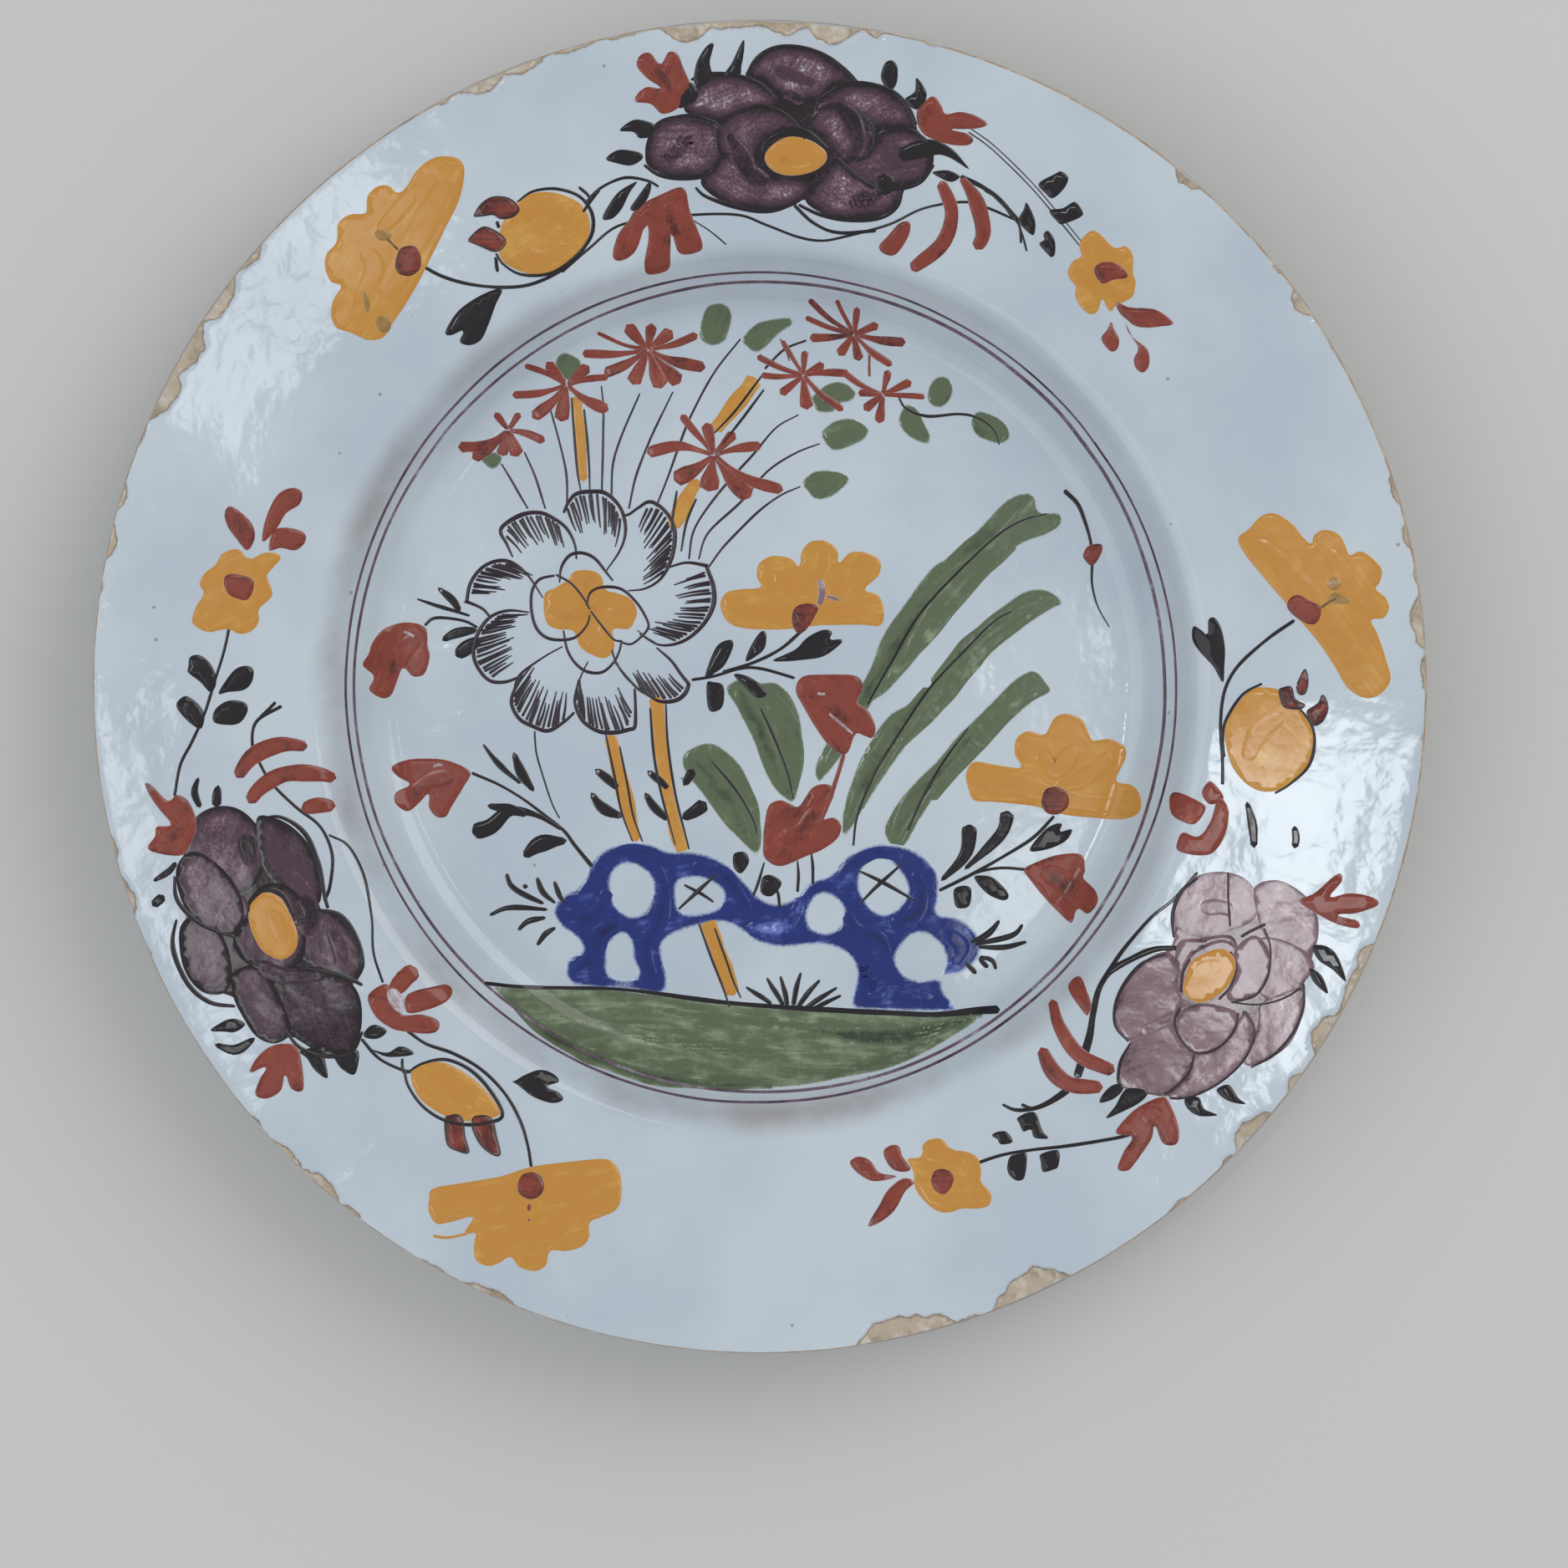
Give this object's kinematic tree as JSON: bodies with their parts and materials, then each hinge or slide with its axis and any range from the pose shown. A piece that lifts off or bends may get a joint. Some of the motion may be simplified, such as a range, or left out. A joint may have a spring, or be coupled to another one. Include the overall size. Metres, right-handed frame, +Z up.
{
  "type": "painted earthenware dish",
  "caption": "Large round tin-glazed earthenware dish with a sunken well, broad flange and foot ring, painted with a garden rock, flowers and flower sprays on the rim.",
  "frame": {"origin": "middle of the foot ring, on the surface that the dish rests on", "axes": "+Z up out of the painted face; +Y towards the top of the painted picture; +X to its right"},
  "size_m": [0.34, 0.34, 0.0393],
  "materials": {
    "fired_clay": "matt buff earthenware, bare and worn at the rim and on the foot ring",
    "tin_glaze": "glossy pale blue-white opaque tin glaze with pinholes and a few specks",
    "manganese_purple": "watery manganese purple wash under gloss, with darker outlines",
    "manganese_line": "near-black purple-brown brush line under gloss",
    "yellow_enamel": "ochre yellow enamel, slightly raised, glossy, streaked with orange",
    "iron_red_enamel": "dark iron red enamel, slightly raised, satin",
    "copper_green": "soft copper green wash under gloss with darker strokes",
    "cobalt_blue": "deep cobalt blue wash under gloss, with a soft blue bleed at its edges"
  },
  "bodies": {
    "root": {"foot_ring": "fired_clay", "clay_floor": "fired_clay", "clay_wall": "fired_clay", "clay_flange": "fired_clay", "face_glaze": "tin_glaze", "back_glaze": "tin_glaze", "base_glaze": "tin_glaze", "well_lines": "manganese_line", "green_bank": "copper_green", "blue_rock": "cobalt_blue", "bamboo_stems": "yellow_enamel", "broad_leaves": "copper_green", "long_leaves": "copper_green", "white_peony": "manganese_line", "white_peony_heart": "yellow_enamel", "asters": "iron_red_enamel", "small_leaves": "copper_green", "fan_blossoms": "yellow_enamel", "red_tulips": "iron_red_enamel", "top_peony": "manganese_purple", "left_peony": "manganese_purple", "right_peony": "manganese_purple", "peony_hearts": "yellow_enamel", "top_fan_blossom": "yellow_enamel", "left_fan_blossom": "yellow_enamel", "right_fan_blossom": "yellow_enamel", "fruit_buds": "yellow_enamel", "top_red_leaves": "iron_red_enamel", "left_red_leaves": "iron_red_enamel", "right_red_leaves": "iron_red_enamel", "small_blossoms": "yellow_enamel"}
  },
  "joints": []
}
